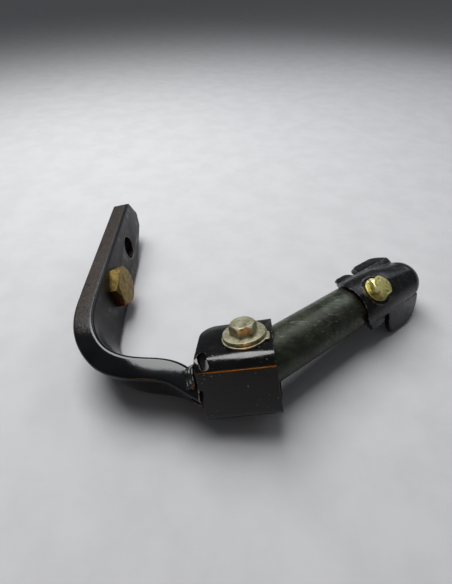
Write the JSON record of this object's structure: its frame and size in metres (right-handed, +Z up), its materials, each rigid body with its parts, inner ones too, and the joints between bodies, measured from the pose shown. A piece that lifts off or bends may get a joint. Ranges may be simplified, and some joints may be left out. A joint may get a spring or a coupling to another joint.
{
  "type": "folding kickstand leg",
  "caption": "Folding stand leg: a bent flat bracket welded to a pressed U housing, with a tube leg that pivots on a bolt and ends in a bolted sheet foot.",
  "frame": {"origin": "centre of the plan rectangle at the level the part lies on", "axes": "+Z up from the surface it lies on, +X along the front of the bracket from the bar to the leg, +Y along the bracket's arm to its tip"},
  "size_m": [0.2206, 0.1759, 0.0539],
  "materials": {
    "bar_black": "semi-gloss black paint worn to brown metal on the narrow edge",
    "housing_black": "gloss black paint with small chips",
    "weld_black": "painted rippled weld bead",
    "frame_bolt_zinc": "aged yellow zinc with a rusty lower edge",
    "pivot_zinc": "dull grey-green zinc",
    "bare_steel": "ground bare steel",
    "nylon": "natural nylon",
    "tube_olive": "worn olive passivated zinc",
    "bronze": "sintered bronze",
    "black_plastic": "moulded black plastic",
    "cap_black": "semi-gloss black paint",
    "foot_zinc": "bright yellow zinc"
  },
  "bodies": {
    "bracket": {"bracket_bar": "bar_black", "pivot_housing": "housing_black", "housing_weld": "weld_black", "frame_bolt": "frame_bolt_zinc", "pivot_bolt": "pivot_zinc", "pivot_washer": "pivot_zinc", "pivot_lock_plate": "pivot_zinc", "pivot_nut": "pivot_zinc", "pivot_nut_washer": "pivot_zinc", "pivot_sleeve": "bare_steel", "thrust_washer_upper": "nylon", "thrust_washer_lower": "nylon"},
    "leg": {"leg_barrel": "tube_olive", "leg_tube": "tube_olive", "pivot_bush_upper": "bronze", "pivot_bush_lower": "bronze", "leg_plug": "black_plastic", "foot_cap": "cap_black", "foot_bolt": "foot_zinc", "foot_bolt_washer": "foot_zinc", "foot_nut": "foot_zinc"}
  },
  "joints": [
    {"name": "leg_fold", "type": "hinge", "parent": "bracket", "child": "leg", "pos_m": [-0.0051, -0.0666, 0.0267], "axis": [-0.1922, 0.342, 0.9198], "range_deg": [-38.5, 60]}
  ]
}
